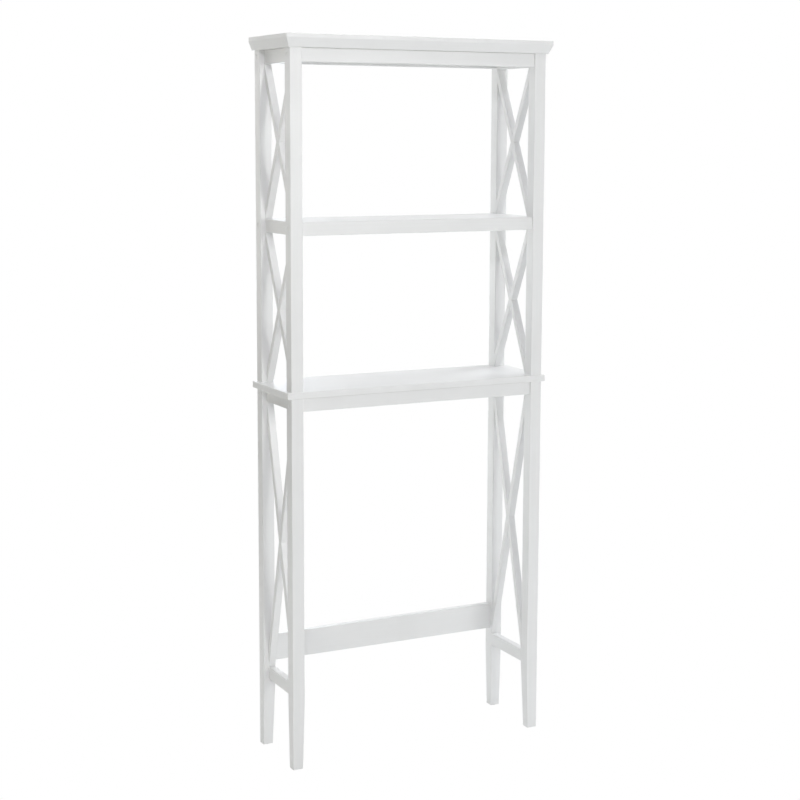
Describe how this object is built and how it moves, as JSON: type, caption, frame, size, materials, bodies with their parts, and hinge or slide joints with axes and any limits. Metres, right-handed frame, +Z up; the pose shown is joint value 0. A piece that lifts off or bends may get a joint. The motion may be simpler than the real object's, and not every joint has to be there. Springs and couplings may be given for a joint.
{
  "type": "over the toilet storage rack",
  "caption": "Tall free-standing wooden rack that straddles a toilet, with X-lattice sides, a bevelled top, open shelves and tapered legs.",
  "frame": {"origin": "on the floor, at the middle of the rectangle that the four feet make", "axes": "+X to the right and +Y to the back when facing the rack's front, +Z up"},
  "size_m": [0.648, 0.213, 1.6],
  "materials": {
    "white_paint": "satin white paint over wood",
    "bolt_steel": "zinc plated",
    "plated_steel": "bright zinc plated",
    "dowel_wood": "bare beech",
    "glide_plastic": "moulded matte",
    "cap_plastic": "moulded satin white"
  },
  "bodies": {
    "root": {"apron_dowels": "dowel_wood", "back_stretcher": "white_paint", "barrel_nuts": "plated_steel", "bolt_caps": "cap_plastic", "corner_pins": "plated_steel", "foot_glide_back_left": "glide_plastic", "foot_glide_back_right": "glide_plastic", "foot_glide_front_left": "glide_plastic", "foot_glide_front_right": "glide_plastic", "frame_bolts": "bolt_steel", "leg_back_left": "white_paint", "leg_back_right": "white_paint", "leg_front_left": "white_paint", "leg_front_right": "white_paint", "leg_lattice_falling_left": "white_paint", "leg_lattice_falling_right": "white_paint", "leg_lattice_rising_left": "white_paint", "leg_lattice_rising_right": "white_paint", "lower_back_apron": "white_paint", "lower_front_apron": "white_paint", "lower_shelf": "white_paint", "lower_side_rail_left": "white_paint", "lower_side_rail_right": "white_paint", "mid_shelf": "white_paint", "mid_side_rail_left": "white_paint", "mid_side_rail_right": "white_paint", "middle_lattice_falling_left": "white_paint", "middle_lattice_falling_right": "white_paint", "middle_lattice_rising_left": "white_paint", "middle_lattice_rising_right": "white_paint", "rail_dowels": "dowel_wood", "stretcher_dowels": "dowel_wood", "top_back_apron": "white_paint", "top_board": "white_paint", "top_front_apron": "white_paint", "top_side_rail_left": "white_paint", "top_side_rail_right": "white_paint", "under_shelf_side_rail_left": "white_paint", "under_shelf_side_rail_right": "white_paint", "upper_lattice_falling_left": "white_paint", "upper_lattice_falling_right": "white_paint", "upper_lattice_rising_left": "white_paint", "upper_lattice_rising_right": "white_paint", "upper_post_back_left": "white_paint", "upper_post_back_right": "white_paint", "upper_post_front_left": "white_paint", "upper_post_front_right": "white_paint"}
  },
  "joints": []
}
